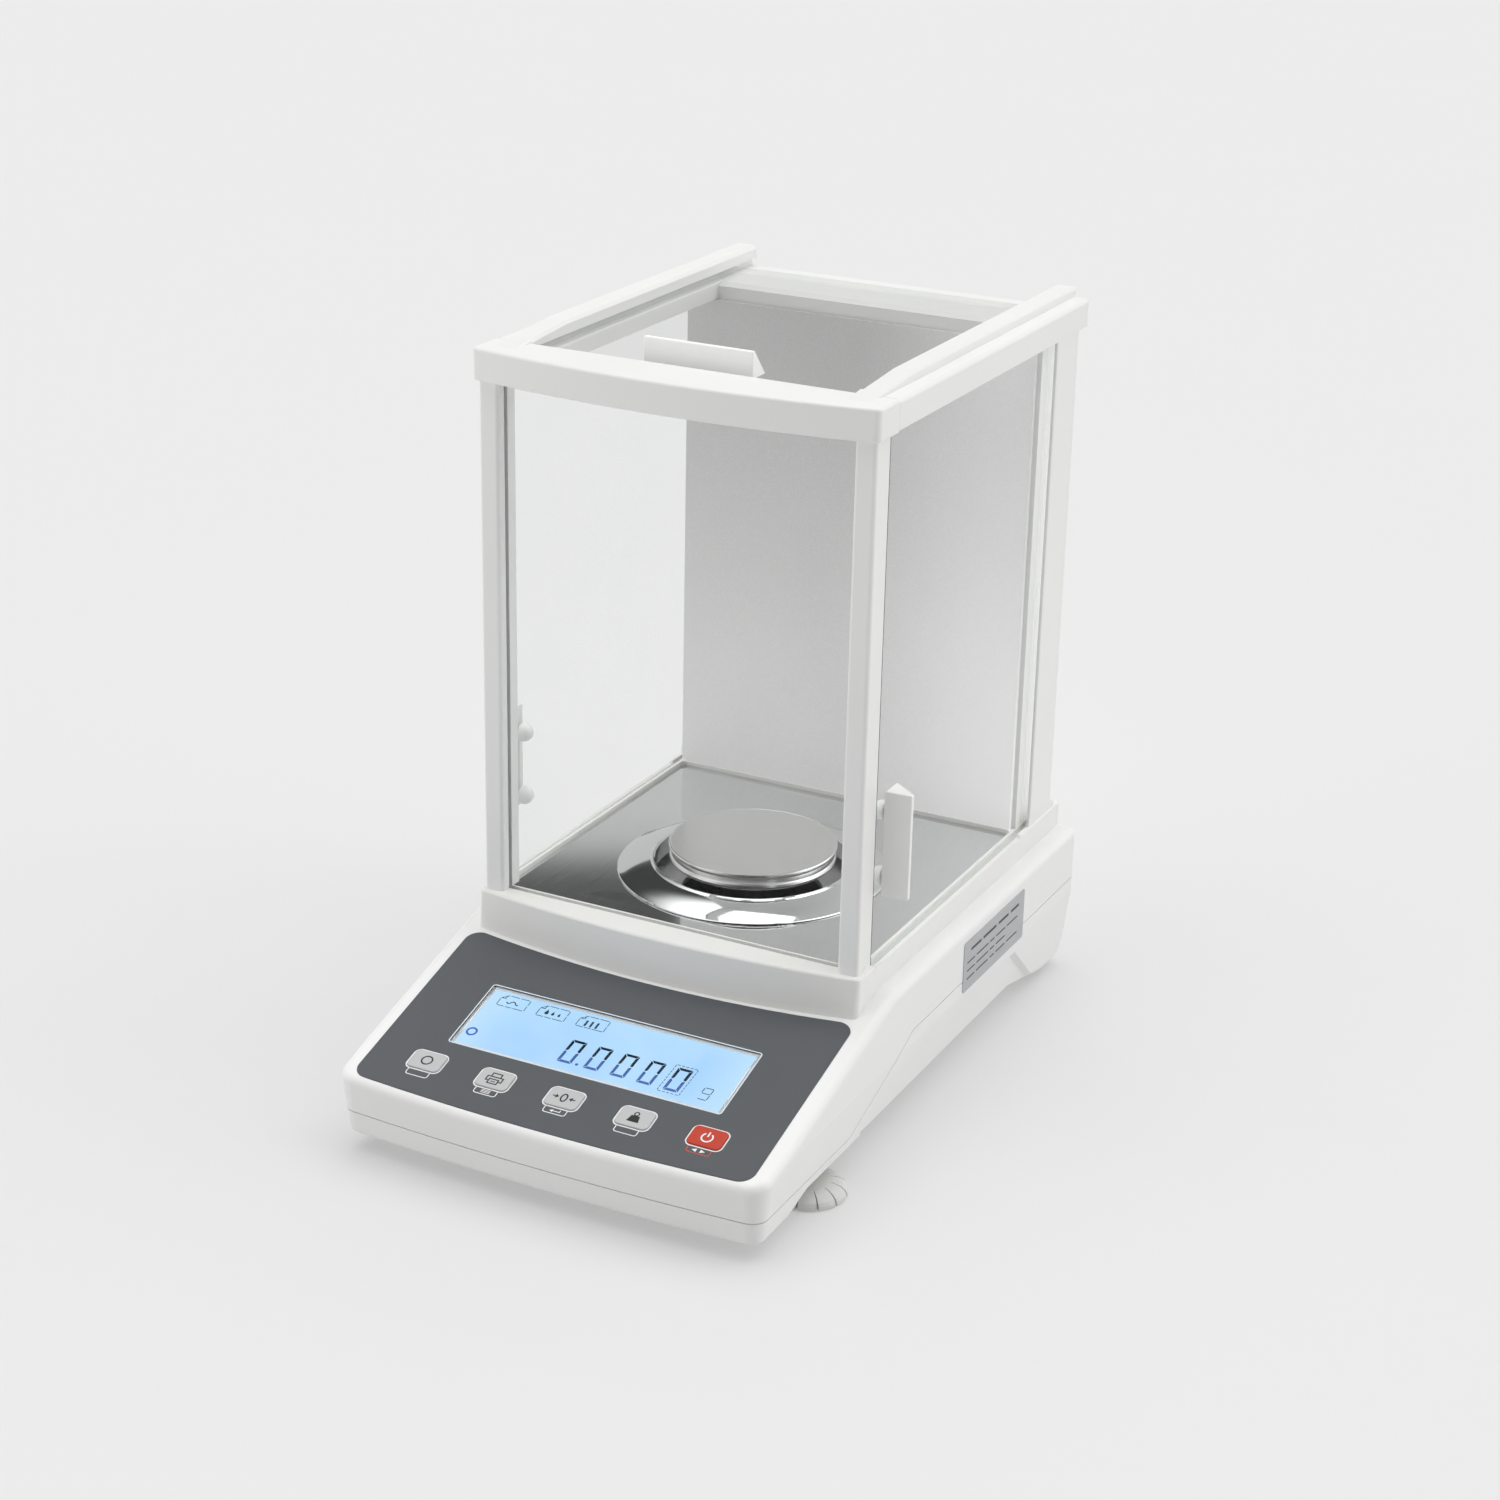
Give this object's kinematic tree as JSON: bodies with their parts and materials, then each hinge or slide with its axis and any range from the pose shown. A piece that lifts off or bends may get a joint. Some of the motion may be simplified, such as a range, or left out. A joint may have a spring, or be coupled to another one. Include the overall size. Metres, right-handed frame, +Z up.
{
  "type": "analytical balance",
  "caption": "Bench analytical balance: glass draught shield with sliding side and top doors over a round weighing pan, sloped display panel with keys, levelling feet.",
  "frame": {"origin": "on the bench plane under the centre of the bounding box", "axes": "+X to the user's right, +Y to the back, +Z up"},
  "size_m": [0.224, 0.3516, 0.3548],
  "materials": {
    "white_abs": "white moulded plastic with a fine satin gloss",
    "warm_white": "slightly warmer white moulded plastic",
    "frame_white": "white moulded frame",
    "grey_panel": "light grey glossy sheet",
    "clear_glass": "clear float glass, polished edges",
    "mirror_steel": "mirror polished stainless sheet",
    "pan_steel": "finely polished stainless",
    "overlay_grey": "dark grey printed polyester film",
    "key_grey": "light grey key cap",
    "key_red": "orange red key cap",
    "lcd_glass": "clear display window",
    "lcd": "light blue backlit display",
    "board": "green circuit board",
    "black": "black plastic",
    "white_plastic": "white plastic light guide",
    "cast_alu": "machined aluminium",
    "steel": "machined steel",
    "zinc": "zinc plated screw",
    "brass": "turned brass",
    "rubber": "black rubber",
    "knob_grey": "light grey moulded knob",
    "plate_silver": "silver foil plate",
    "vial": "tinted liquid in a clear vial",
    "copper": "copper coil",
    "cable": "grey flat cable"
  },
  "bodies": {
    "base": {"upper_housing": "white_abs", "lower_housing": "white_abs", "chamber_base_frame": "warm_white", "front_post_left": "frame_white", "front_post_right": "frame_white", "rear_post_left": "frame_white", "rear_post_right": "frame_white", "rear_column": "frame_white", "back_panel": "grey_panel", "front_glass": "clear_glass", "top_front_bar": "frame_white", "top_rail_left": "frame_white", "top_rail_right": "frame_white", "top_rear_bar": "frame_white", "chamber_floor_plate": "mirror_steel", "keypad_overlay": "overlay_grey", "display_window": "lcd_glass", "lcd_panel": "lcd", "lcd_backlight": "white_plastic", "display_board": "board", "key_switches": "black", "display_cable": "cable", "weigh_cell_frame": "cast_alu", "guide_arms": "steel", "magnet_pot": "steel", "chassis_plate": "cast_alu", "cell_screws": "zinc", "foot_inserts": "brass", "rear_feet": "rubber", "main_board": "board", "power_jack": "black", "serial_port": "steel", "level_body": "black", "level_vial": "vial", "rating_plate": "plate_silver", "housing_screws": "zinc", "post_screws": "zinc"},
    "side_door_left": {"side_door_glass_left": "clear_glass", "side_door_handle_left": "frame_white", "side_handle_caps_left": "frame_white"},
    "side_door_right": {"side_door_glass_right": "clear_glass", "side_door_handle_right": "frame_white", "side_handle_caps_right": "frame_white"},
    "top_door": {"top_door_glass": "clear_glass", "top_door_handle": "frame_white", "top_handle_caps": "frame_white"},
    "receptor": {"load_receptor": "steel"},
    "lever": {"balance_lever": "cast_alu", "force_coil": "copper"},
    "pan": {"weighing_pan": "pan_steel"},
    "ring": {"draft_ring": "mirror_steel"},
    "foot_pad_left": {"foot_pad_left": "rubber"},
    "foot_pad_right": {"foot_pad_right": "rubber"},
    "foot_knob_left": {"foot_knob_left": "knob_grey"},
    "foot_knob_right": {"foot_knob_right": "knob_grey"},
    "key_off": {"key_off": "key_grey"},
    "key_print": {"key_print": "key_grey"},
    "key_tare": {"key_tare": "key_grey"},
    "key_cal": {"key_cal": "key_grey"},
    "key_on": {"key_on": "key_red"}
  },
  "joints": [
    {"name": "side_door_left_slide", "type": "slide", "parent": "base", "child": "side_door_left", "axis": [0, 1, 0], "range_m": [0, 0.15]},
    {"name": "side_door_right_slide", "type": "slide", "parent": "base", "child": "side_door_right", "axis": [0, 1, 0], "range_m": [0, 0.15]},
    {"name": "top_door_slide", "type": "slide", "parent": "base", "child": "top_door", "axis": [0, 1, 0], "range_m": [0, 0.148]},
    {"name": "receptor_slide", "type": "slide", "parent": "base", "child": "receptor", "axis": [0, 0, 1], "range_m": [-0.0002, 0], "stiffness_N_per_m": 20000},
    {"name": "lever_pivot", "type": "hinge", "parent": "base", "child": "lever", "pos_m": [0, 0.0355, 0.048], "axis": [1, 0, 0], "range_deg": [0, 1]},
    {"name": "pan_lift", "type": "slide", "parent": "receptor", "child": "pan", "axis": [0, 0, 1], "range_m": [0, 0.03]},
    {"name": "ring_lift", "type": "slide", "parent": "base", "child": "ring", "axis": [0, 0, 1], "range_m": [0, 0.03]},
    {"name": "foot_left_slide", "type": "slide", "parent": "base", "child": "foot_pad_left", "axis": [0, 0, -1], "range_m": [0, 0.005]},
    {"name": "foot_left_turn", "type": "hinge", "parent": "foot_pad_left", "child": "foot_knob_left", "pos_m": [-0.094, -0.1025, 0.008], "axis": [0, 0, -1], "range_deg": [0, 1440]},
    {"name": "foot_right_slide", "type": "slide", "parent": "base", "child": "foot_pad_right", "axis": [0, 0, -1], "range_m": [0, 0.005]},
    {"name": "foot_right_turn", "type": "hinge", "parent": "foot_pad_right", "child": "foot_knob_right", "pos_m": [0.094, -0.1025, 0.008], "axis": [0, 0, -1], "range_deg": [0, 1440]},
    {"name": "key_off_press", "type": "slide", "parent": "base", "child": "key_off", "axis": [0, 0.274, -0.9617], "range_m": [0, 0.0004], "stiffness_N_per_m": 400},
    {"name": "key_print_press", "type": "slide", "parent": "base", "child": "key_print", "axis": [0, 0.274, -0.9617], "range_m": [0, 0.0004], "stiffness_N_per_m": 400},
    {"name": "key_tare_press", "type": "slide", "parent": "base", "child": "key_tare", "axis": [0, 0.274, -0.9617], "range_m": [0, 0.0004], "stiffness_N_per_m": 400},
    {"name": "key_cal_press", "type": "slide", "parent": "base", "child": "key_cal", "axis": [0, 0.274, -0.9617], "range_m": [0, 0.0004], "stiffness_N_per_m": 400},
    {"name": "key_on_press", "type": "slide", "parent": "base", "child": "key_on", "axis": [0, 0.274, -0.9617], "range_m": [0, 0.0004], "stiffness_N_per_m": 400}
  ],
  "couplings": [
    {"joint": "lever_pivot", "follows": "receptor_slide", "rad_per_m": -83.333},
    {"joint": "foot_left_turn", "follows": "foot_left_slide", "rad_per_m": 5026.5},
    {"joint": "foot_right_turn", "follows": "foot_right_slide", "rad_per_m": 5026.5}
  ]
}
